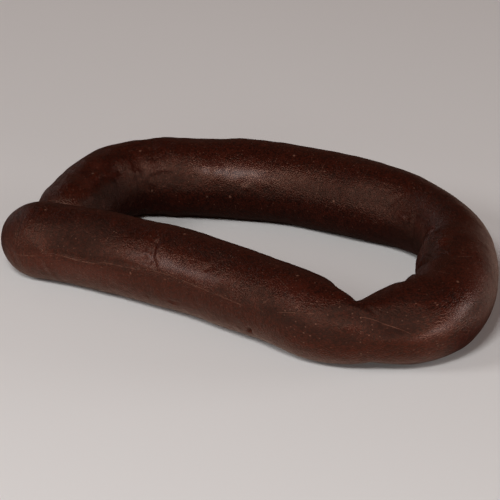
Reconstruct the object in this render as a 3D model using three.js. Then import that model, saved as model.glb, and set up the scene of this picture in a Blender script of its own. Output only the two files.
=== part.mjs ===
// A blood sausage: dark pudding filled into one length of natural beef casing and laid down as a
// loop on a table. From its left end the front run (towards -Y) comes right, buckles at a creased
// corner and swings round the right end. The rear run goes back left, and hooks in until its end
// leans on the front run's end. Millimetres, +Z up. The origin is on the table, under the middle
// of the loop's footprint.
import * as THREE from "three";

// ---- Driving dimensions -------------------------------------------------------------------------

const CALIBRE = 42.2; // diameter of the filled casing along most of the loop
const FRONT_END_CALIBRE = 39.6; // the casing is a little slacker towards each end
const REAR_END_CALIBRE = 36.1;
const END_TAPER = 70; // how far that slackness reaches from an end
const SPINE_LENGTH = 605.6; // along the middle of the filling, from end to end
const FRONT_DOME = 24.3; // how long the rounded closed ends are
const REAR_DOME = 18.2;
const DOME_POWER = 2.02; // 2 is an ellipse, and more is blunter
const SAG = 0.8; // how far the soft underside is flattened by the table
const SPREAD = 0.012; // share by which the section is wider and lower than a circle
const END_GAP = 0.6; // air between the rear end and the flank of the front run

// The loop seen from above: a start, and bends that each turn the spine by so many degrees,
// anticlockwise, over a length centred at a distance from the front end.
const START = { x: -130, y: 21.5, heading: -21.8 };
const BENDS = [
  { at: 93.4, over: 195, turn: -20.3 }, // the front run bows a little towards the viewer
  { at: 197.5, over: 37.3, turn: 39.5 }, // and buckles at its corner
  { at: 247, over: 47.8, turn: 75 }, // the corner goes on round
  { at: 328.3, over: 148.9, turn: 57 }, // into the right end
  { at: 427.7, over: 188.4, turn: 47.3 }, // the long rear run
  { at: 543.7, over: 61.8, turn: 69.8 }, // the hook that brings the rear end back in
];

// Folds of the casing. Angles run round the section from the inside of the loop, over the top, so
// that 90 is the top and 180 the outside. A fold's line is given as stations of angle and distance
// along. Its flanks reach behind and ahead of that line, and behind shortens to rolled where the
// fold has climbed over the top. The higher a flank's power, the more it is drawn in towards the
// line. A blunt fold is a round hollow. A fold is deepest up to one angle and gone at another.
const CORNER_FOLD = {
  line: [
    { climb: 0, at: 200 },
    { climb: 100, at: 210.7 },
    { climb: 124, at: 212 },
    { climb: 134, at: 217.6 },
    { climb: 150, at: 223.5 },
  ],
  depth: 13.7,
  behind: 38,
  rolled: 6.4,
  ahead: 26.3,
  blunt: 1,
  power: 5.4,
  aheadPower: 1.35,
  full: 55,
  gone: 146,
};
const RIGHT_HOLLOW = {
  line: [{ climb: 0, at: 345 }],
  depth: 7.8,
  behind: 31,
  rolled: 31,
  ahead: 62,
  blunt: 3.2,
  power: 1.9,
  aheadPower: 2.2,
  full: 28,
  gone: 120,
};
const RIGHT_CREASE = {
  line: [
    { climb: 0, at: 297 },
    { climb: 27, at: 291 },
    { climb: 50, at: 284 },
    { climb: 76, at: 284 },
    { climb: 88, at: 281 },
  ],
  depth: 2.4,
  behind: 5,
  rolled: 6,
  ahead: 4,
  blunt: 1,
  power: 1.4,
  aheadPower: 1.4,
  full: 35,
  gone: 108,
};
// a fold that stands out: skin pushed up into a lip on the inside, just before the hollow
const INNER_LIP = {
  line: [
    { climb: 0, at: 260 },
    { climb: 80, at: 248 },
  ],
  depth: -3.4,
  behind: 19,
  rolled: 19,
  ahead: 12,
  blunt: 1,
  power: 1.3,
  aheadPower: 1.3,
  full: 50,
  gone: 95,
};
const PLEATS = {
  first: 296, // small pleats that fan out of the hollow
  count: 6,
  pitch: 8,
  lean: 8, // further along at the top than inside the loop
  depth: 1,
  reach: 3.6,
  full: 30,
  gone: 84,
};

// Slow unevenness of the filling: wavelength along the spine, turns round the section, height.
const SWELLS = [
  { wave: 507, turns: 0, height: 0.44, phase: 1.9 },
  { wave: 97, turns: 0, height: 0.12, phase: 1.48 },
  { wave: 61, turns: 1, height: 0.2, phase: 2.1 },
  { wave: 43, turns: 2, height: 0.14, phase: 4.0 },
];

// The mesh of the skin.
const SIDES = 30;
const PLAIN_STEP = 7;
const DOME_RINGS = 7;
const FINE_STRETCHES = [
  { from: 176, to: 228, step: 2 }, // the corner fold
  { from: 228, to: 274, step: 3.5 }, // the lip
  { from: 274, to: 340, step: 3 }, // the right end's hollow and pleats
];

// ---- Spine --------------------------------------------------------------------------------------

const SPINE_STEP = 1;
const RADIAN = Math.PI / 180;

function smooth(t) {
  const u = Math.min(1, Math.max(0, t));
  return u * u * (3 - 2 * u);
}

function headingAt(along) {
  let heading = START.heading;
  for (const bend of BENDS) {
    heading += bend.turn * smooth((along - bend.at) / bend.over + 0.5);
  }
  return heading * RADIAN;
}

// Points of the spine on the table's plane, one every SPINE_STEP.
function layOutSpine() {
  const points = [new THREE.Vector2(START.x, START.y)];
  for (let along = SPINE_STEP; along <= SPINE_LENGTH; along += SPINE_STEP) {
    const heading = headingAt(along - SPINE_STEP / 2);
    const step = new THREE.Vector2(Math.cos(heading), Math.sin(heading));
    points.push(points.at(-1).clone().addScaledVector(step, SPINE_STEP));
  }
  return points;
}

const SPINE = layOutSpine();

function spineAt(along) {
  const place = Math.min(SPINE.length - 1, Math.max(0, along / SPINE_STEP));
  const low = Math.min(SPINE.length - 2, Math.floor(place));
  return SPINE[low].clone().lerp(SPINE[low + 1], place - low);
}

// ---- Section ------------------------------------------------------------------------------------

// Half the calibre at a place along the spine, before the rounded ends.
function fullness(along) {
  const nearFront = Math.exp(-((along / END_TAPER) ** 2));
  const nearRear = Math.exp(-(((SPINE_LENGTH - along) / END_TAPER) ** 2));
  const lost =
    (CALIBRE - FRONT_END_CALIBRE) * nearFront + (CALIBRE - REAR_END_CALIBRE) * nearRear;
  return (CALIBRE - lost) / 2;
}

// The share of that half calibre that the rounded ends leave.
function domeShare(along) {
  const front = Math.max(0, 1 - along / FRONT_DOME);
  const rear = Math.max(0, 1 - (SPINE_LENGTH - along) / REAR_DOME);
  const close = Math.max(front, rear);
  return Math.max(0, 1 - close ** DOME_POWER) ** (1 / DOME_POWER);
}

function swell(along, around) {
  let height = 0;
  for (const s of SWELLS) {
    height += s.height * Math.sin((2 * Math.PI * along) / s.wave + s.turns * around + s.phase);
  }
  return height;
}

// Where a fold's line lies along the sausage at an angle round the section.
function lineAt(line, climb) {
  const next = line.findIndex((station) => station.climb >= climb);
  if (next === 0) return line[0].at;
  if (next < 0) return line.at(-1).at;
  const [low, high] = [line[next - 1], line[next]];
  return low.at + ((high.at - low.at) * (climb - low.climb)) / (high.climb - low.climb);
}

// How far one fold presses the skin in at a place. The under side folds as the top does.
function foldDepth(fold, along, around) {
  const climb = Math.abs(around) / RADIAN;
  const faded = smooth((climb - fold.full) / (fold.gone - fold.full));
  const offset = along - lineAt(fold.line, climb);
  const behind = fold.behind + (fold.rolled - fold.behind) * faded;
  const distance = offset < 0 ? -offset / behind : offset / fold.ahead;
  if (distance >= 1) return 0;
  const power = offset < 0 ? fold.power : fold.aheadPower;
  return fold.depth * (1 - faded) * (1 - distance ** fold.blunt) ** power;
}

function makePleats() {
  const { first, count, pitch, lean, depth, reach, full, gone } = PLEATS;
  const pleats = [];
  for (let n = 0; n < count; n++) {
    const at = first + n * pitch;
    const line = [{ climb: 0, at }, { climb: 90, at: at + lean }];
    const flanks = { behind: reach, rolled: reach, ahead: reach };
    pleats.push({ line, depth, ...flanks, blunt: 1, power: 1.2, aheadPower: 1.2, full, gone });
  }
  return pleats;
}

const FOLDS = [CORNER_FOLD, RIGHT_HOLLOW, RIGHT_CREASE, INNER_LIP, ...makePleats()];

function pressedIn(along, around) {
  let depth = 0;
  for (const fold of FOLDS) {
    depth += foldDepth(fold, along, around);
  }
  return depth;
}

// A point of the skin: around is in radians from the inside of the loop, over the top, from -pi
// to pi.
function skinPoint(along, around) {
  const filled = fullness(along) + swell(along, around) - pressedIn(along, around);
  const radius = filled * domeShare(along);
  const middle = spineAt(along);
  const heading = headingAt(along);
  const sideways = radius * (1 + SPREAD) * Math.cos(around);
  const upwards = radius * (1 - SPREAD) * Math.sin(around);
  const height = fullness(along) * (1 - SPREAD) - SAG;
  return new THREE.Vector3(
    middle.x - sideways * Math.sin(heading),
    middle.y + sideways * Math.cos(heading),
    Math.max(0, height + upwards),
  );
}

// The soft rear end gives way where it leans on the front run: a point that would come nearer than
// END_GAP to the front run's flank is moved straight out of it.
const FRONT_RUN_END = 120;
function leanOnFrontRun(point) {
  let nearest = Infinity;
  let at = 0;
  for (let along = 0; along <= FRONT_RUN_END; along += SPINE_STEP) {
    const distance = spineAt(along).distanceTo(new THREE.Vector2(point.x, point.y));
    if (distance < nearest) {
      nearest = distance;
      at = along;
    }
  }
  const middle = spineAt(at);
  const axis = new THREE.Vector3(middle.x, middle.y, fullness(at) * (1 - SPREAD) - SAG);
  const outward = point.clone().sub(axis);
  const least = (fullness(at) + swell(at, 0)) * domeShare(at) * (1 + SPREAD) + END_GAP;
  if (outward.length() < least) {
    point.copy(axis.addScaledVector(outward.normalize(), least));
    point.z = Math.max(0, point.z);
  }
  return point;
}

// ---- Skin mesh ----------------------------------------------------------------------------------

// Where the rings of the skin lie along the spine, without the two poles.
function ringPlaces() {
  const places = [];
  for (let n = 1; n <= DOME_RINGS; n++) {
    places.push(FRONT_DOME * (1 - Math.cos((n / DOME_RINGS) * (Math.PI / 2))));
  }
  const bodyEnd = SPINE_LENGTH - REAR_DOME;
  let along = FRONT_DOME;
  while (along < bodyEnd - PLAIN_STEP) {
    const here = along;
    const stretch = FINE_STRETCHES.find(({ from, to }) => here >= from && here < to);
    along += stretch ? stretch.step : PLAIN_STEP;
    places.push(along);
  }
  for (let n = DOME_RINGS; n >= 1; n--) {
    places.push(SPINE_LENGTH - REAR_DOME * (1 - Math.cos((n / DOME_RINGS) * (Math.PI / 2))));
  }
  return places;
}

function makeSkin() {
  const corners = [];
  const places = ringPlaces();
  const rearStart = SPINE_LENGTH / 2;
  for (const along of places) {
    for (let side = 0; side < SIDES; side++) {
      const around = ((side + 0.5) / SIDES) * 2 * Math.PI - Math.PI;
      const point = skinPoint(along, around);
      corners.push(along > rearStart ? leanOnFrontRun(point) : point);
    }
  }
  const frontPole = corners.push(skinPoint(0, 0)) - 1;
  const rearPole = corners.push(leanOnFrontRun(skinPoint(SPINE_LENGTH, 0))) - 1;

  const triangles = [];
  const cornerOf = (ring, side) => ring * SIDES + (side % SIDES);
  for (let side = 0; side < SIDES; side++) {
    triangles.push(frontPole, cornerOf(0, side + 1), cornerOf(0, side));
    for (let ring = 0; ring + 1 < places.length; ring++) {
      const [a, b] = [cornerOf(ring, side), cornerOf(ring, side + 1)];
      const [c, d] = [cornerOf(ring + 1, side), cornerOf(ring + 1, side + 1)];
      triangles.push(a, b, c, b, d, c);
    }
    const last = places.length - 1;
    triangles.push(rearPole, cornerOf(last, side), cornerOf(last, side + 1));
  }

  const geometry = new THREE.BufferGeometry();
  geometry.setFromPoints(corners);
  geometry.setIndex(triangles);
  geometry.computeBoundingBox();
  const footprint = geometry.boundingBox.getCenter(new THREE.Vector3());
  geometry.translate(-footprint.x, -footprint.y, 0);
  return geometry;
}

// ---- The sausage --------------------------------------------------------------------------------

const casing = new THREE.MeshStandardMaterial({ color: 0x2d130d, roughness: 0.42, metalness: 0 });
const sausage = new THREE.Mesh(makeSkin(), casing);
sausage.name = "sausage";

const group = new THREE.Group();
group.add(sausage);

export default group;
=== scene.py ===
import math

import bmesh
import bpy
import numpy as np
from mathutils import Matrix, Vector, noise


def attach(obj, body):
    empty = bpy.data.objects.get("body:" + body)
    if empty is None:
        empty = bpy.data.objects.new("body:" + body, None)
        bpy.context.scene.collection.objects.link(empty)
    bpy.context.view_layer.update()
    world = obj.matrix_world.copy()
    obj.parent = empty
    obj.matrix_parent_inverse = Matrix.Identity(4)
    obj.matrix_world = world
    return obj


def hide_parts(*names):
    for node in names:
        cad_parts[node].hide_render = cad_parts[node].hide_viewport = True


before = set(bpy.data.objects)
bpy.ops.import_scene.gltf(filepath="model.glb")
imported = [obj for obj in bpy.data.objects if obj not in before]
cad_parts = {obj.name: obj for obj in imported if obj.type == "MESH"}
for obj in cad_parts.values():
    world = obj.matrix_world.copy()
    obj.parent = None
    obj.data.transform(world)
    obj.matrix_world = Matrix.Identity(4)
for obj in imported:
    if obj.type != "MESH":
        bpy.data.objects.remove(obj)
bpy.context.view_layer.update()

MM = 0.001  # the sausage's sizes are in millimetres up to where this multiplies them

# ---- Camera -------------------------------------------------------------------------------------
# A long lens two metres away, looking along +Y and down at the loop.
CAMERA_RISE = math.radians(26)
CAMERA_DISTANCE = 2.0
CAMERA_AIM = Vector((1.2, -3.7, 20)) * MM
SENSOR_WIDTH = 36  # millimetres, as the focal length is
FOCAL_LENGTH = 281.1
CLIP_END = 20  # metres

away = Vector((0, -math.cos(CAMERA_RISE), math.sin(CAMERA_RISE)))
bpy.ops.object.camera_add(
    location=CAMERA_AIM + away * CAMERA_DISTANCE,
    rotation=(math.pi / 2 - CAMERA_RISE, 0, 0),
)
camera = bpy.context.object
camera.data.sensor_width = SENSOR_WIDTH
camera.data.lens = FOCAL_LENGTH
camera.data.clip_end = CLIP_END
camera.data.dof.use_dof = False
bpy.context.scene.camera = camera
bpy.context.scene.view_settings.view_transform = "Standard"


# ---- Table and lights ---------------------------------------------------------------------------
# A plain pale tabletop, a dim warm room, and soft boxes: raised ones in front and on the left for
# the gloss, low ones round the outside of the loop. To the sausage alone, the table is painted dark
# as shade inside the loop and behind it, so that the inner flanks stay as dark as they should.
TABLE_SIZE = 8.0
TABLE_COLOUR = (0.80, 0.79, 0.78, 1)
TABLE_ROUGHNESS = 0.6
FRONT_BOUNCE = (0.88, 0.66, 0.54, 1)  # what the sausage gets back from the table in front of it
SHADED_BOUNCE = (0.13, 0.08, 0.065, 1)  # and from the table inside the loop and behind it, painted dark there as shade
SHADE_LINE = (0.45, 1.0, 0)  # square to the line on the table where the two meet
SHADE_EDGE = (-0.035, -0.055)  # how far along it the shade ends and the full bounce starts
SHADE_RIGHT = 0.135  # where the shaded part ends on the right
SHADE_RIGHT_BLUR = 0.02
ROOM_COLOUR = (1.0, 0.50, 0.34, 1)
ROOM_STRENGTH = 0.09


def new_finish(name):
    finish = bpy.data.materials.new(name)
    finish.use_nodes = True
    return finish, finish.node_tree, finish.node_tree.nodes["Principled BSDF"]


def add_node(kind, values=None, **settings):
    """Adds a node to the current tree, sets its properties, and sets or links its inputs."""
    made = tree.nodes.new("ShaderNode" + kind)
    for name, value in settings.items():
        setattr(made, name, value)
    for name, value in (values or {}).items():
        if isinstance(value, bpy.types.NodeSocket):
            tree.links.new(value, made.inputs[name])
        else:
            made.inputs[name].default_value = value
    return made


def remap(value, low, high, to_low=0.0, to_high=1.0):
    values = {"Value": value, "From Min": low, "From Max": high}
    values |= {"To Min": to_low, "To Max": to_high}
    return add_node("MapRange", values).outputs["Result"]


def combine(operation, first, second):
    return add_node("Math", {0: first, 1: second}, operation=operation).outputs[0]


def mix_colour(share, first, second):
    return add_node("Mix", {0: share, 6: first, 7: second}, data_type="RGBA").outputs[2]


bpy.ops.object.select_all(action="DESELECT")
bpy.ops.mesh.primitive_plane_add(size=TABLE_SIZE, location=(0, 0, 0))
table = bpy.context.object
table.name = "table"
table_finish, tree, table_shader = new_finish("table_finish")
floor_place = add_node("TexCoord").outputs["Object"]
beyond = add_node("VectorMath", {0: floor_place, 1: SHADE_LINE}, operation="DOT_PRODUCT")
in_front = remap(beyond.outputs["Value"], *SHADE_EDGE)
to_the_right = add_node("SeparateXYZ", {0: floor_place}).outputs["X"]
right_of_loop = remap(to_the_right, SHADE_RIGHT, SHADE_RIGHT + SHADE_RIGHT_BLUR)
# the bounce colour: painted shade inside the loop and behind it, the lit table elsewhere
bounce = mix_colour(combine("MAXIMUM", in_front, right_of_loop), SHADED_BOUNCE, FRONT_BOUNCE)
seen = add_node("LightPath").outputs["Is Camera Ray"]
tree.links.new(mix_colour(seen, bounce, TABLE_COLOUR), table_shader.inputs["Base Color"])
table_shader.inputs["Roughness"].default_value = TABLE_ROUGHNESS
table.data.materials.append(table_finish)

room = bpy.data.worlds.new("room")
room.use_nodes = True
room_light = room.node_tree.nodes["Background"]
room_light.inputs["Color"].default_value = ROOM_COLOUR
room_light.inputs["Strength"].default_value = ROOM_STRENGTH
bpy.context.scene.world = room


def soft_box(name, azimuth, rise, distance, width, height, power):
    """A rectangular light at an azimuth (0 is the camera's side) and rise, aimed at the loop."""
    turn, up = math.radians(azimuth), math.radians(rise)
    outward = Vector((math.sin(turn) * math.cos(up), -math.cos(turn) * math.cos(up), math.sin(up)))
    bpy.ops.object.light_add(type="AREA", location=outward * distance)
    lamp = bpy.context.object
    lamp.name = name
    lamp.rotation_euler = outward.to_track_quat("Z", "Y").to_euler()
    lamp.data.shape = "RECTANGLE"
    lamp.data.size = width
    lamp.data.size_y = height
    lamp.data.energy = power


soft_box("key_box", azimuth=-15, rise=45, distance=2.0, width=0.5, height=0.36, power=19.5)
soft_box("left_box", azimuth=-69, rise=31, distance=2.0, width=0.6, height=0.5, power=12)
soft_box("left_wall", azimuth=-30, rise=12, distance=2.2, width=1.2, height=0.7, power=6)
soft_box("right_wall", azimuth=42, rise=5, distance=2.2, width=1.5, height=0.4, power=22)
soft_box("side_box", azimuth=92, rise=11, distance=2.0, width=0.9, height=0.5, power=9)
soft_box("far_left_box", azimuth=-142, rise=12, distance=2.0, width=0.9, height=0.4, power=1.2)


# ---- Sausage ------------------------------------------------------------------------------------
# Dark blood pudding filled into one length of natural beef casing, closed at both ends and cooked.
# Laid down as a loop, it buckles at one corner, where the casing folds over, and its soft rear end
# leans on the front run.

# Along is the distance from the front end down the middle of the filling, and around is the angle
# round the section: 0 inside the loop, 90 the top, 180 outside.
CALIBRE = 42.2
FRONT_END_CALIBRE = 39.6
REAR_END_CALIBRE = 36.1
END_TAPER = 70
LENGTH = 605.6
FRONT_DOME = 24.3
REAR_DOME = 18.2
DOME_POWER = 2.02
SAG = 0.8
SPREAD = 0.012
END_GAP = 0.6  # air between the rear end and the front run, without the front run's fine relief
LOOP_START = (-130, 21.5)
START_HEADING = -21.8
SPINE_STEP = 0.5
BENDS = [  # along, over, turn in degrees
    (93.4, 195, -20.3),
    (197.5, 37.3, 39.5),
    (247, 47.8, 75),
    (328.3, 148.9, 57),
    (427.7, 188.4, 47.3),
    (543.7, 61.8, 69.8),
]


def smooth(t):
    u = np.clip(t, 0, 1)
    return u * u * (3 - 2 * u)


def heading_at(along):
    heading = np.full_like(along, START_HEADING)
    for at, over, turn in BENDS:
        heading = heading + turn * smooth((along - at) / over + 0.5)
    return np.radians(heading)


def lay_out_spine():
    """Points of the spine seen from above, one at every step along it."""
    heading = heading_at(SPINE_PLACES[:-1] + SPINE_STEP / 2)
    x = LOOP_START[0] + np.concatenate([[0], np.cumsum(SPINE_STEP * np.cos(heading))])
    y = LOOP_START[1] + np.concatenate([[0], np.cumsum(SPINE_STEP * np.sin(heading))])
    return x, y


SPINE_PLACES = np.arange(0, LENGTH + SPINE_STEP, SPINE_STEP)
SPINE_X, SPINE_Y = lay_out_spine()


def spine_at(along):
    return np.interp(along, SPINE_PLACES, SPINE_X), np.interp(along, SPINE_PLACES, SPINE_Y)


def fullness(along):
    near_front = np.exp(-((along / END_TAPER) ** 2))
    near_rear = np.exp(-(((LENGTH - along) / END_TAPER) ** 2))
    lost = (CALIBRE - FRONT_END_CALIBRE) * near_front + (CALIBRE - REAR_END_CALIBRE) * near_rear
    return (CALIBRE - lost) / 2


def dome_share(along):
    front = np.maximum(0, 1 - along / FRONT_DOME)
    rear = np.maximum(0, 1 - (LENGTH - along) / REAR_DOME)
    close = np.maximum(front, rear)
    return np.maximum(0, 1 - close**DOME_POWER) ** (1 / DOME_POWER)


SWELLS = [  # wave, turns, height, phase
    (507, 0, 0.44, 1.9),
    (97, 0, 0.12, 1.48),
    (61, 1, 0.2, 2.1),
    (43, 2, 0.14, 4.0),
]


def swell(along, around):
    height = np.zeros_like(along)
    for wave, turns, tall, phase in SWELLS:
        height += tall * np.sin(2 * math.pi * along / wave + turns * around + phase)
    return height


# A fold's crease line is given as (around, along) stations. Its flanks reach behind and ahead of
# the line, and behind may shorten to rolled where the fold has climbed over the top. A flank's
# power draws it in towards the line. A blunt fold is a round hollow. The press is full up to one
# angle and gone at another, under the sausage too.
CORNER_CREASE = {
    "line": [(0, 200), (100, 210.7), (124, 212), (134, 217.6), (150, 223.5)],
    "depth": 13.7, "behind": 38, "rolled": 6.4, "ahead": 26.3,
    "blunt": 1, "power": 5.4, "ahead_power": 1.35, "full": 55, "gone": 146,
}
RIGHT_HOLLOW = {
    "line": [(0, 345), (180, 345)],
    "depth": 7.8, "behind": 31, "rolled": 31, "ahead": 62,
    "blunt": 3.2, "power": 1.9, "ahead_power": 2.2, "full": 28, "gone": 120,
}
RIGHT_CREASE = {
    "line": [(0, 297), (27, 291), (50, 284), (76, 284), (88, 281), (112, 285)],
    "depth": 2.4, "behind": 5, "rolled": 6, "ahead": 4,
    "blunt": 1, "power": 1.4, "ahead_power": 1.4, "full": 35, "gone": 108,
}
INNER_LIP = {  # stands out, so its depth is below nought
    "line": [(0, 260), (80, 248)],
    "depth": -3.4, "behind": 19, "rolled": 19, "ahead": 12,
    "blunt": 1, "power": 1.3, "ahead_power": 1.3, "full": 50, "gone": 95,
}
PLEATS = [  # along where each crosses the inside, depth
    (281, 0.4), (286, 0.5), (290, 0.6), (294, 0.8), (297.5, 0.7), (301, 0.9), (305, 0.8),
    (310, 0.9), (318, 0.6), (327, 1.0), (338, 0.5), (352, 0.4),
]
PLEAT_LEAN = 8  # how far along a pleat has moved by the time it reaches the top
PLEAT = {
    "behind": 2.4, "rolled": 2.4, "ahead": 2.4,
    "blunt": 1.4, "power": 1.3, "ahead_power": 1.3, "full": 30, "gone": 84,
}


def fold_depth(along, around, fold):
    climb = np.abs(np.degrees(around))
    faded = smooth((climb - fold["full"]) / (fold["gone"] - fold["full"]))
    stations = list(zip(*fold["line"]))
    offset = along - np.interp(climb, stations[0], stations[1])
    reach = fold["behind"] + (fold["rolled"] - fold["behind"]) * faded
    distance = np.minimum(np.where(offset < 0, -offset / reach, offset / fold["ahead"]), 1)
    power = np.where(offset < 0, fold["power"], fold["ahead_power"])
    return fold["depth"] * (1 - faded) * (1 - distance ** fold["blunt"]) ** power


def pressed_in(along, around):
    depth = np.zeros_like(along)
    for fold in (CORNER_CREASE, RIGHT_HOLLOW, RIGHT_CREASE, INNER_LIP):
        depth += fold_depth(along, around, fold)
    for at, deep in PLEATS:
        pleat = {"line": [(0, at), (90, at + PLEAT_LEAN)], "depth": deep, **PLEAT}
        depth += fold_depth(along, around, pleat)
    return depth


# Finer relief of the skin. Lumps of the filling show through it, more in some stretches.
LUMPS = [  # wave in mm, height in mm
    (26, 0.34),
    (11, 0.22),
    (5, 0.09),
]
LUMP_NOISE = 1.6  # steps of the noise to a wave
LUMPINESS = [  # along, strength
    (0, 0.5), (60, 0.7), (150, 1), (200, 0.8), (260, 0.6), (400, 0.8), (470, 1.1), (520, 2.2),
]

# Small creases and ridges: depth (a ridge's is negative), half width, and stations along, around.
MARKS = [
    (1.1, 1.3, [(95.6, 115), (96, 119), (96.5, 135), (97.5, 144), (100, 150), (101.5, 158)]),
    (-0.4, 1.3, [(99, 119), (99.3, 127), (99.8, 140), (102, 148)]),
    (0.7, 1.3, [(91, 153), (94, 149), (98.5, 151)]),
    (-0.5, 1.6, [(93, 142), (94, 137)]),
    (0.25, 1.0, [(83, 158), (83, 163)]),
    (0.45, 1.1, [(132.5, 126), (132.5, 133), (129.5, 139)]),
    (-0.35, 1.2, [(129.5, 126), (129.5, 129)]),
    (0.5, 1.0, [(109, -160), (113, -157), (117, -160)]),
    (0.35, 1.3, [(30, 170), (44, 166), (62, 169), (69, 163), (82, 162), (96, 158)]),
    (0.3, 1.2, [(95, -157), (98, -154)]),
    (1.5, 1.5, [(163.3, -160), (162.4, -151), (162, -146)]),
    (0.6, 1.6, [(9.5, 120), (10, 142), (10.5, 158), (11.5, 175), (14, -173), (17, -150)]),
    (0.4, 2.0, [(14.5, 128), (16, 150), (18, 169), (21, -170)]),
    (-0.45, 2.8, [(17.5, 128), (21, 142), (26, 157), (31, 171), (34, -170)]),
    (0.45, 3.2, [(26, 128), (29, 142), (33, 156), (37, 170), (40, -170)]),
    (-0.35, 1.3, [(32.8, 176), (34.3, -167), (36.8, -148), (39.3, -131)]),
    (0.2, 1.3, [(30.6, 176), (32, -165), (34, -148)]),
    (-0.16, 1.2, [(27, -178), (30, -160), (32, -140)]),
    (0.7, 1.8, [(530, 22), (524, 27), (518, 30), (512, 26)]),
    (-0.4, 1.8, [(528, 30), (521, 35), (514, 36)]),
    (0.4, 1.2, [(492, 20), (492, 30), (492.5, 44)]),
    (0.35, 1.3, [(375, 60), (377.5, 42), (379.5, 29)]),
    (-0.2, 1.1, [(372.5, 58), (375, 42), (377, 31)]),
    (0.55, 1.2, [(341, 22), (338.8, 37), (335.4, 49), (332, 61)]),
    (0.45, 1.0, [(313, 50), (313.9, 55), (315.5, 62), (317.4, 70)]),
    (0.4, 0.9, [(306.6, 50), (306.5, 63), (305.3, 74)]),
    (0.4, 0.9, [(298.8, 52), (299.5, 68), (300.6, 78)]),
    (0.3, 0.8, [(293.5, 52), (294, 66), (295, 76)]),
    (-0.8, 3.0, [(326, 42), (323, 52), (321, 60)]),
    (-0.7, 2.4, [(302.5, 58), (302.5, 68), (303, 75)]),
    (-0.6, 2.4, [(296, 58), (296.5, 68), (297, 75)]),
    (0.8, 1.4, [(305.5, 35), (297, 45), (288, 54), (287.3, 66), (286.7, 78)]),
    (-0.45, 1.6, [(300, 28), (291, 44), (283.5, 55), (283, 70), (282, 82)]),
    (0.4, 1.5, [(359, 38), (361.5, 32), (359.5, 26)]),
    (0.4, 0.9, [(211.8, 121.7), (214.4, 124), (218.2, 132), (220.9, 139.5), (222.3, 145.5)]),
    (0.3, 3.2, [(220, 157), (225.7, 161.5), (230, 165), (234, 168)]),
    (-0.4, 4.2, [(214, 176), (220.6, 174.5), (227, 176), (233.9, 176), (241, 167), (246, 160)]),
    (0.3, 3.5, [(190, 160), (196, 165), (201, 170), (206, 174.6), (211, 177)]),
]
MARK_FADE = 0.3  # share of its length over which a mark fades in
MARK_TIP = 0.25
SPOTS = [  # along, around, across, height
    (591, 55, 11, 0.7), (579, 60, 7, -1.1), (572, 67, 5, 0.9), (569, 55, 7, -0.9),
    (568, 38, 7, 0.8), (556, 50, 9, -0.9), (545, 35, 5, 0.9), (538.5, 36, 3.4, 0.5),
    (534, 40, 8, -0.7), (526, 36, 8, 0.6), (526, 19, 6, 0.5), (509, 40, 8, 0.5),
    (500, 26, 3.4, -0.6), (503.5, 23, 4, 0.4), (494, 35, 8, 0.4), (469, 15, 3.6, 0.7),
    (472, 22, 3, -0.25), (366, 29, 5, 0.5), (357.4, 32, 4.4, 0.6), (324, 20, 15, -2.2),
    (318, 46, 10, 0.7), (252.5, 118, 2.4, 0.25), (249.5, 121, 1.8, 0.2), (255, 115, 1.6, 0.18),
    (247, 97, 2.2, 0.14), (229.4, 119, 2.6, 0.22), (241.9, 139, 1.8, 0.2),
    (239.5, 126.5, 1.8, 0.18), (186.9, 150, 1.8, 0.2), (197.4, 101, 1.4, 0.15), (209, 156, 9, 0.5),
    (238.6, 131, 1.8, 0.14), (244.6, -180, 1.8, 0.2), (148.7, 166, 1.6, 0.2),
    (61.5, 126, 1.6, 0.12), (57, 120, 1.5, 0.1), (50, 108, 1.5, 0.1), (38, 127, 1.5, 0.12),
    (146, 150, 10, -0.35), (120, 148, 14, 0.3), (87, 149, 12, 0.25), (62, 148, 12, -0.15),
    (196, 160, 9, 0.35),
]
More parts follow.
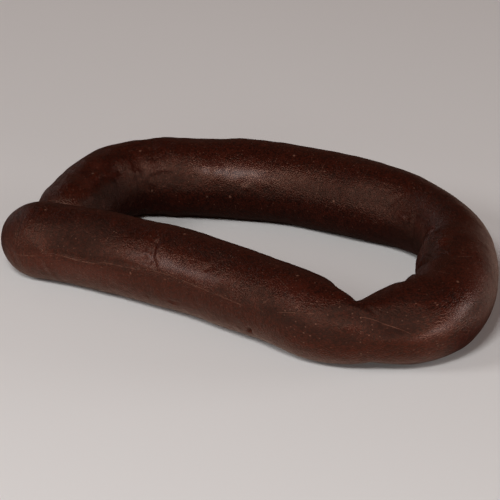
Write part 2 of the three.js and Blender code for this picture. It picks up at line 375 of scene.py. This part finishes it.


# Where the skin is dull and painted dark as shade, or with a share below nought, glossy and painted
# pale as a highlight: along, around, length, height, share.
SKIN_PATCHES_AND_PAINTED_LIGHT = [
    (229.5, 164, 20, 10, 1.0), (222, 157, 14, 7, 0.8), (206, 177, 24, 8, 0.7),
    (194, 168, 24, 7, 0.7), (179, 160, 16, 7, 0.8), (145, 155, 9, 6, 0.8), (160, 159, 12, 5, 0.5),
    (110, 164, 44, 5, 0.5), (72, 165, 40, 6, 0.6), (134, 110, 30, 10, 0.5), (104, 108, 22, 12, 0.4),
    (60, 113, 30, 12, 0.6), (50, 144, 44, 24, 1.0), (395, 40, 60, 20, 0.4), (545, 12, 60, 26, 0.6),
    (510, 36, 16, 14, 0.4), (240, 112, 26, 10, 0.4), (345, 92, 40, 12, 0.5), (300, 96, 16, 10, 0.5),
    (470, 8, 60, 8, 0.5), (230, 142, 22, 11, 0.9), (207, 140, 20, 8, 0.6), (171, 140, 24, 8, 0.5),
    (590, 34, 22, 12, 0.5), (345, -8, 52, 30, 1.0), (301, 46, 24, 13, 0.9), (287, 50, 14, 14, 0.7),
    (231, 175.5, 14, 4, -0.8), (238, 172, 12, 4.5, -0.9), (244, 165.5, 10, 5, -1.0),
    (249, 156, 9, 5, -1.0), (254, 147, 9, 5, -0.8), (262, 138, 12, 6, -0.3),
    (273, 130, 28, 14, -1.0), (298, 106, 30, 13, -0.5), (476, 35, 46, 10, -1.2),
    (471, 13, 5, 4, -0.6), (495.5, 37, 4, 4, -0.5), (583, 66, 10, 8, -1.2), (565, 76, 8, 7, -1.0),
    (561.7, 46, 8, 7, -1.0), (541, 41, 6, 5, -1.2), (523, 40, 15, 5, -0.8), (98, 144, 34, 14, -0.6),
    (126, 147, 44, 9, -0.6), (183, 121, 30, 11, -0.8), (365.5, 31, 7, 6, -1.2),
    (348.7, 36.4, 6, 5, -0.7), (333, 47, 9, 7, -1.2), (300, 71, 10, 6, -1.2),
    (50, -176, 56, 14, -1.3), (211, 161, 12, 6, -0.5), (425, 27, 60, 9, 0.4), (505, 19, 44, 9, 0.6),
    (577, 34, 30, 13, 0.8), (205, 140, 14, 12, 0.6), (216, 142, 16, 10, 0.6),
    (187, 157, 24, 8, 0.5), (259, 160, 16, 7, 0.6),
]


def apart_round(around, degrees):
    """The angle from a place round the section, the short way, in radians."""
    return (around - math.radians(degrees) + math.pi) % (2 * math.pi) - math.pi


def dullness_and_painted_light(along, around):
    """From 1, dull with painted shade darkening it, down to below nought, glossy with a painted
    highlight.
    """
    clear = np.ones_like(along)
    for at, degrees, long, high, share in SKIN_PATCHES_AND_PAINTED_LIGHT:
        lengthwise = (along - at) / long * 2
        crosswise = apart_round(around, degrees) * CALIBRE / high
        clear *= 1 - share * np.exp(-(lengthwise**2 + crosswise**2))
    return 1 - clear


def mark_depth(along, around, depth, half_width, line):
    """A small crease along a line of stations, shallower towards its ends."""
    nearest = np.full_like(along, np.inf)
    share = np.zeros_like(along)
    for n, (start, end) in enumerate(zip(line, line[1:])):
        run = np.array([end[0] - start[0], math.radians((end[1] - start[1] + 180) % 360 - 180)])
        run[1] *= CALIBRE / 2
        off = np.stack([along - start[0], apart_round(around, start[1]) * CALIBRE / 2], axis=-1)
        t = np.clip(off @ run / (run @ run), 0, 1)
        distance = np.linalg.norm(off - t[:, None] * run, axis=1)
        closer = distance < nearest
        nearest = np.where(closer, distance, nearest)
        share = np.where(closer, (n + t) / (len(line) - 1), share)
    ends = smooth(np.minimum(share, 1 - share) / MARK_FADE + MARK_TIP)
    return depth * ends * np.exp(-((nearest / half_width) ** 2))


def on_straight_tube(along, around):
    """Where a place would lie if the casing were straight, so that patterns follow its bends."""
    half = CALIBRE / 2
    return np.stack([along, half * np.cos(around), half * np.sin(around)], axis=-1)


def relief_at(along, around):
    tube = on_straight_tube(along, around)
    strength = np.interp(along, *zip(*LUMPINESS))
    height = np.zeros_like(along)
    for wave, tall in LUMPS:
        lumps = [noise.noise(Vector(place)) for place in tube / wave * LUMP_NOISE]
        height += tall * strength * lumps
    for depth, half_width, line in MARKS:
        height -= mark_depth(along, around, depth, half_width, line)
    for at, degrees, across, tall in SPOTS:
        gap = np.hypot(along - at, apart_round(around, degrees) * CALIBRE / 2)
        height += tall * np.exp(-((gap / across * 2) ** 2))
    return height * dome_share(along) ** 0.5


PUCKER_DEPTH = 1.6  # both ends of the casing are gathered to a point and drawn in
PUCKER_REACH = 4.5
GATHERS = 11
GATHER_HEIGHT = 0.3
GATHER_REACH = 2.2  # times the pucker's


def skin_point(along, around):
    filled = fullness(along) + swell(along, around) - pressed_in(along, around)
    radius = filled * dome_share(along) + relief_at(along, around)
    near_pole = np.exp(-((radius / (GATHER_REACH * PUCKER_REACH)) ** 2))
    radius = radius + GATHER_HEIGHT * near_pole * dome_share(along) * np.cos(GATHERS * around)
    inwards = np.where(along < LENGTH / 2, 1, -1)
    along = along + inwards * PUCKER_DEPTH * np.exp(-((radius / PUCKER_REACH) ** 2))
    x, y = spine_at(along)
    heading = heading_at(along)
    sideways = radius * (1 + SPREAD) * np.cos(around)
    upwards = radius * (1 - SPREAD) * np.sin(around)
    z = np.maximum(0, fullness(along) * (1 - SPREAD) - SAG + upwards)
    return np.stack([x - sideways * np.sin(heading), y + sideways * np.cos(heading), z], axis=-1)


FRONT_RUN_END = 120  # the rear end leans on the front run nearer than this to its end


def lean_on_front_run(points):
    """Pushes points that would come nearer than END_GAP to the front run straight out of it."""
    places = np.arange(0, FRONT_RUN_END + 1.0)
    x, y = spine_at(places)
    apart = (points[:, 0, None] - x) ** 2 + (points[:, 1, None] - y) ** 2
    at = places[np.argmin(apart, axis=1)]
    x, y = spine_at(at)
    middle = np.stack([x, y, fullness(at) * (1 - SPREAD) - SAG], axis=-1)
    outward = points - middle
    far = np.linalg.norm(outward, axis=1)
    least = (fullness(at) + swell(at, np.zeros_like(at))) * dome_share(at) * (1 + SPREAD) + END_GAP
    pushed = middle + outward / np.maximum(far, 1e-6)[:, None] * least[:, None]
    pushed[:, 2] = np.maximum(0, pushed[:, 2])
    return np.where((far < least)[:, None], pushed, points)


# The casing starts as a straight filled tube along +X, and is cut into rings.
SIDES = 150
RING_CUTS = 24  # made twice, one inside the other
RINGS = (RING_CUTS + 1) ** 2
DOME_RINGS = 22

bpy.ops.object.select_all(action="DESELECT")
bpy.ops.mesh.primitive_cylinder_add(
    vertices=SIDES,
    radius=CALIBRE / 2 * MM,
    depth=LENGTH * MM,
    end_fill_type="TRIFAN",
    location=(LENGTH / 2 * MM, 0, 0),
    rotation=(0, math.pi / 2, 0),
)
sausage = bpy.context.object
sausage.name = "sausage_skin"
bpy.ops.object.transform_apply(location=True, rotation=True, scale=True)
bpy.ops.object.mode_set(mode="EDIT")
bpy.ops.mesh.select_mode(type="EDGE")
for _ in range(2):
    tube = bmesh.from_edit_mesh(sausage.data)
    for edge in tube.edges:
        start, end = (v.co for v in edge.verts)
        lengthwise = abs(start.y - end.y) + abs(start.z - end.z) < 1e-6
        edge.select_set(lengthwise)
    bmesh.update_edit_mesh(sausage.data)
    bpy.ops.mesh.subdivide(number_cuts=RING_CUTS)
bpy.ops.object.mode_set(mode="OBJECT")

straight = np.zeros(len(sausage.data.vertices) * 3)
sausage.data.vertices.foreach_get("co", straight)
straight = straight.reshape(-1, 3) / MM
ring = np.clip(np.round(straight[:, 0] / LENGTH * RINGS), 0, RINGS)
is_pole = np.hypot(straight[:, 1], straight[:, 2]) < 1
around = np.arctan2(straight[:, 2], straight[:, 1])


CREASED_STRETCHES = [(86, 108), (156, 238), (276, 330)]  # rings lie this much closer there
CREASED_CLOSENESS = 2.1
CREASED_BLEND = 8
BODY_STEP = 0.25


def place_of(ring):
    """Where a ring lies along the spine: close together on the domes and where the skin creases."""
    front = FRONT_DOME * (1 - np.cos((ring + 1) / (DOME_RINGS + 1) * math.pi / 2))
    rear = LENGTH - REAR_DOME * (1 - np.cos((RINGS - ring + 1) / (DOME_RINGS + 1) * math.pi / 2))
    body = np.arange(FRONT_DOME, LENGTH - REAR_DOME, BODY_STEP)
    closeness = np.ones_like(body)
    for start, end in CREASED_STRETCHES:
        inside = smooth((body - start) / CREASED_BLEND + 0.5)
        inside *= smooth((end - body) / CREASED_BLEND + 0.5)
        closeness = np.maximum(closeness, 1 + (CREASED_CLOSENESS - 1) * inside)
    share = np.cumsum(closeness) / closeness.sum()
    middle = np.interp((ring - DOME_RINGS) / (RINGS - 2 * DOME_RINGS), share, body)
    return np.where(ring < DOME_RINGS, front, np.where(ring > RINGS - DOME_RINGS, rear, middle))


along = place_of(ring)
along[is_pole] = np.where(straight[is_pole, 0] < LENGTH / 2, 0, LENGTH)


# Shrinks the skin a little, so that its lumps stay inside the solid's box.
SETTLED = (0.9992, 0.9966, 0.9948)


def skin_surface(along, around):
    points = skin_point(along, around)
    rear_half = along > LENGTH / 2
    points[rear_half] = lean_on_front_run(points[rear_half])
    return points * SETTLED


points = skin_surface(along, around)
footprint = (points.min(axis=0) + points.max(axis=0)) / 2 * (1, 1, 0)
points -= footprint
sausage.data.vertices.foreach_set("co", (points * MM).ravel())
sausage.data.update()


def keep_places(mesh, places, dull_and_painted_light, is_vein):
    """Stores, for the material, where each point lies on the straight tube and what is there."""
    veined = np.full(len(mesh.vertices), float(is_vein))
    for name, kind, field, values in (
        ("unbent", "FLOAT_VECTOR", "vector", places.ravel()),
        ("dull_and_painted_light", "FLOAT", "value", dull_and_painted_light),
        ("vein", "FLOAT", "value", veined),
    ):
        mesh.attributes.new(name, kind, "POINT").data.foreach_set(field, values)


keep_places(sausage.data, on_straight_tube(along, around) * MM, dullness_and_painted_light(along, around), False)

# Veins and threads of the gut, as thin tubes sunk into the skin until they stand just proud of it:
# half width, height, and stations along, around. The first is the seam, where the gut was cut from
# its fat.
VEINS = [
    (0.39, 0.14, [(14, -176), (25, 179), (34, 173), (44, 170), (51, 173), (62, 173), (69, 167),
                  (82, 166), (90, 165), (97.5, 161), (113, 160), (128, 164), (149, 166),
                  (163, 167)]),
    (0.33, 0.16, [(50, 130), (48, 134), (46.3, 145), (45.3, 152), (44.8, 161), (44.8, 169)]),
    (0.25, 0.09, [(31.3, 98), (31.3, 118), (31.3, 131)]),
    (0.21, 0.05, [(32.8, 178), (34.3, -167), (36.8, -148), (39.3, -131)]),
    (0.31, 0.10, [(168.9, 164), (172, 154.5), (175.5, 141), (179, 130.4), (181.8, 125),
                  (185.1, 122.6), (193.3, 121.4), (198.1, 122.5), (202.5, 124.3), (206.1, 127),
                  (211.9, 131)]),
    (0.25, 0.08, [(167.1, 105), (172.2, 111), (177.8, 117), (182, 121.3), (185.1, 122.6)]),
    (0.34, 0.13, [(169.6, 169), (175.8, 162), (182.3, 157.4), (187.2, 152.2), (191.7, 148.2),
                  (199.2, 143.3), (206.6, 142.3), (211.7, 143.1), (216.6, 144.5), (219.9, 146.5),
                  (223.6, 150.7), (227.9, 155.5), (231.9, 160.4), (234.6, 167.1), (237.6, 173.7)]),
    (0.31, 0.12, [(281.4, 88), (281, 98), (286, 115), (291, 128), (294, 137), (297, 154),
                  (300, 166)]),
    (0.30, 0.10, [(271.4, 55), (263, 75), (261.5, 91), (262, 104)]),
    (0.23, 0.06, [(302, 76), (304, 85), (305, 101)]),
    (0.30, 0.11, [(512, 76), (513, 49), (513.5, 34), (513, 24), (512, 10), (510.5, 0),
                  (509.5, -12)]),
    (0.30, 0.11, [(427, 75), (426.5, 61), (426, 41), (424.5, 27), (425.5, 14), (428, 0)]),
    (0.28, 0.10, [(402, 86), (400, 66), (399.7, 52)]),
    (0.23, 0.06, [(462, 49), (454, 53), (447, 62), (440, 73), (435, 88)]),
    (0.25, 0.07, [(199.7, 169), (198.5, 179), (197.2, -171)]),
]
VEIN_STEP = 1.2
VEIN_DIP = 0.4  # how far a vein sinks back into the skin in places, which breaks its line
VEIN_DIP_WAVE = 15
VEIN_DIP_SEED = 90  # keeps veins of unlike widths from sinking at the same places
VEIN_TAPER_STEPS = 5
VEIN_TIP = 0.25  # share of its width that a vein has at its tips
NUDGE = (0.5, 0.025)  # along and around, to feel which way the skin faces


def follow(stations):
    """Evenly spaced places on a soft line through the stations."""
    along = np.array([station[0] for station in stations], float)
    around = np.unwrap(np.radians([station[1] for station in stations]))
    run = np.hypot(np.diff(along), np.diff(around) * CALIBRE / 2)
    length = np.concatenate([[0], np.cumsum(run)])
    steps = np.linspace(0, length[-1], int(length[-1] / VEIN_STEP) + 2)
    line = np.stack([np.interp(steps, length, along), np.interp(steps, length, around)])
    for _ in range(3):
        line[:, 1:-1] = (line[:, :-2] + 2 * line[:, 1:-1] + line[:, 2:]) / 4
    return line


bpy.ops.object.select_all(action="DESELECT")
strands = bpy.data.curves.new("veins", "CURVE")
strands.dimensions = "3D"
strands.bevel_depth = 1
strands.bevel_resolution = 1
strands.use_fill_caps = True
strand_places = []
for half_width, lift, stations in VEINS:
    line_along, line_around = follow(stations)
    here = skin_surface(line_along, line_around)
    ahead = skin_surface(line_along + NUDGE[0], line_around)
    across = skin_surface(line_along, line_around + NUDGE[1])
    normal = np.cross(ahead - here, across - here)
    normal /= -np.linalg.norm(normal, axis=1)[:, None]
    line_places = zip(line_along, line_around)
    dips = [
        noise.noise(Vector((at / VEIN_DIP_WAVE, side, half_width * VEIN_DIP_SEED)))
        for at, side in line_places
    ]
    sunk = half_width - lift + VEIN_DIP * np.maximum(0, np.array(dips) + 0.1)
    middle = (here - footprint - normal * sunk[:, None]) * MM
    from_start = np.arange(len(here))
    from_an_end = np.minimum(from_start, from_start[::-1])
    taper = np.minimum(1, from_an_end / VEIN_TAPER_STEPS + VEIN_TIP)
    strand = strands.splines.new("POLY")
    strand.points.add(len(here) - 1)
    strand.points.foreach_set("co", np.c_[middle, np.ones(len(here))].ravel())
    strand.points.foreach_set("radius", half_width * taper * MM)
    strand_places.append((middle, on_straight_tube(line_along, line_around) * MM))

veins = bpy.data.objects.new("veins", strands)
bpy.context.collection.objects.link(veins)
veins.select_set(True)
bpy.context.view_layer.objects.active = veins
bpy.ops.object.convert(target="MESH")
corners = np.zeros(len(veins.data.vertices) * 3)
veins.data.vertices.foreach_get("co", corners)
corners = corners.reshape(-1, 3)
centres = np.concatenate([middle for middle, _ in strand_places])
centre_places = np.concatenate([places for _, places in strand_places])
nearest = [np.argmin(((centres - corner) ** 2).sum(axis=1)) for corner in corners]
keep_places(veins.data, centre_places[nearest], np.zeros(len(corners)), True)
sausage.select_set(True)
bpy.context.view_layer.objects.active = sausage
bpy.ops.object.join()
bpy.ops.object.shade_smooth()

# The casing's finish: dark filling seen through a moist, thin, slightly fibrous skin.
DEEP_BROWN = (0.0050, 0.0006, 0.0004, 1)
WARM_BROWN = (0.036, 0.0056, 0.0027, 1)
CRUMB = (0.150, 0.070, 0.046, 1)
VEIN = (0.078, 0.034, 0.022, 1)

# Patterns, as features to a metre of casing.
PATCHES = 90
MOTTLE = 330
PIMPLES = 300
FIBRES = 900
GRAIN = 1300
FIBRE_STRETCH = (1.0, 0.10, 0.10)  # fibres run round the casing
FIBRES_FADE = (0.075, 0.012)  # metres from the front end where they are weak, and at their full
# how much painted shade darkens the dull patches, and a painted highlight pales the glossy ones
PAINTED_SHADE_AND_HIGHLIGHT = 0.50
SMALL_CRUMBS = {"scale": 560, "share": 0.38, "dot_size": 0.22}
LARGE_CRUMBS = {"scale": 150, "share": 0.16, "dot_size": 0.13}
LARGE_CRUMB_STRENGTH = 0.8
SURFACE = {
    "IOR": 1.45,
    "Specular IOR Level": 0.45,
    "Specular Tint": (1.0, 0.54, 0.39, 1),
    "Coat Roughness": 0.38,
    "Coat IOR": 1.45,
}
WET_FILM = 0.34  # coat where the skin is glossiest
BUMP_HEIGHT = 0.25 * MM

casing, tree, shader = new_finish("casing")


def link(output, name):
    tree.links.new(output, shader.inputs[name])


skin_place = add_node("Attribute", attribute_name="unbent").outputs["Vector"]


def skin_noise(scale, detail, roughness=0.55, place=skin_place):
    """Noise over the casing, with a feature about every 1 / scale metres."""
    values = {"Vector": place, "Scale": scale, "Detail": detail, "Roughness": roughness}
    return add_node("TexNoise", values).outputs["Fac"]


# mottling of the filling, from patches a centimetre across down to its fine crumb
patches = skin_noise(PATCHES, 3)
mottle = skin_noise(MOTTLE, 4, 0.6)
fine_crumb = skin_noise(GRAIN, 3, 0.7)
pebbles = add_node("TexVoronoi", {"Vector": skin_place, "Scale": GRAIN}, feature="F1")
pebble = pebbles.outputs["Distance"]
pebble_draw = add_node("SeparateColor", {"Color": pebbles.outputs["Color"]}).outputs[0]
fibre_place = add_node("Mapping", {"Vector": skin_place, "Scale": FIBRE_STRETCH}).outputs[0]
fibres = skin_noise(FIBRES, 3, 0.6, fibre_place)
along_casing = add_node("SeparateXYZ", {"Vector": skin_place}).outputs["X"]
near_front_end = remap(along_casing, *FIBRES_FADE, 0.22, 1.0)

tone = combine("ADD", remap(patches, 0.3, 0.7, 0.02, 0.28), remap(mottle, 0.28, 0.72, 0.02, 0.40))
tone = combine("ADD", tone, remap(fine_crumb, 0.30, 0.70, -0.35, 0.60))
tone = combine("ADD", tone, remap(pebble_draw, 0.0, 1.0, -0.35, 0.35))
dull_and_painted_light = add_node("Attribute", attribute_name="dull_and_painted_light").outputs["Fac"]
# painted shade darkens the dull patches, and a painted highlight pales the glossy ones
tone = combine("SUBTRACT", tone, combine("MULTIPLY", dull_and_painted_light, PAINTED_SHADE_AND_HIGHLIGHT))
streaks = combine("MULTIPLY", remap(fibres, 0.3, 0.7, -0.4, 0.4), near_front_end)
skin_colour = mix_colour(combine("ADD", tone, streaks), DEEP_BROWN, WARM_BROWN)


def crumbs(scale, share, dot_size):
    """Pale dots in a share of the cells of a pattern, as where fat lies just under the skin."""
    cells = add_node("TexVoronoi", {"Vector": skin_place, "Scale": scale}, feature="F1")
    draw = add_node("SeparateColor", {"Color": cells.outputs["Color"]}).outputs[0]
    chosen = remap(draw, 1 - share, 1 - share + 0.02)
    uneven = combine("ADD", cells.outputs["Distance"], remap(mottle, 0.3, 0.7, -0.06, 0.06))
    return combine("MULTIPLY", chosen, remap(uneven, dot_size, dot_size * 0.3))


small_crumbs = combine("MULTIPLY", crumbs(**SMALL_CRUMBS), remap(patches, 0.35, 0.65, 0.25, 0.9))
large_crumbs = combine("MULTIPLY", crumbs(**LARGE_CRUMBS), LARGE_CRUMB_STRENGTH)
crumb = combine("MAXIMUM", small_crumbs, large_crumbs)
vein = add_node("Attribute", attribute_name="vein").outputs["Fac"]
skin_colour = mix_colour(crumb, skin_colour, CRUMB)
vein = combine("MULTIPLY", vein, remap(mottle, 0.35, 0.65, 0.15, 0.85))
link(mix_colour(vein, skin_colour, VEIN), "Base Color")

# gloss: moist, uneven with the mottling, rough where dull, and with a wet film where glossiest
roughness = combine("ADD", remap(mottle, 0.3, 0.7, 0.42, 0.27), combine("MULTIPLY", dull_and_painted_light, 0.09))
roughness = combine("ADD", roughness, combine("MULTIPLY", combine("MAXIMUM", dull_and_painted_light, 0.0), 0.33))
link(roughness, "Roughness")
link(remap(dull_and_painted_light, 0.0, -1.0, 0.0, WET_FILM), "Coat Weight")
for name, value in SURFACE.items():
    shader.inputs[name].default_value = value

# fine relief: pimples of the filling, a grain finer than them, and fibres round the casing
pimples = skin_noise(PIMPLES, 3)
height = combine("ADD", combine("MULTIPLY", pimples, 1.2), combine("MULTIPLY", fine_crumb, 0.7))
height = combine("SUBTRACT", height, combine("MULTIPLY", pebble, 0.7))
height = combine("ADD", height, combine("MULTIPLY", fibres, near_front_end))
height = combine("ADD", height, combine("MULTIPLY", crumb, 0.3))
bump = add_node("Bump", {"Height": height, "Strength": 1.0, "Distance": BUMP_HEIGHT})
link(bump.outputs["Normal"], "Normal")

sausage.data.materials.clear()
sausage.data.materials.append(casing)
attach(sausage, "root")
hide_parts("sausage")
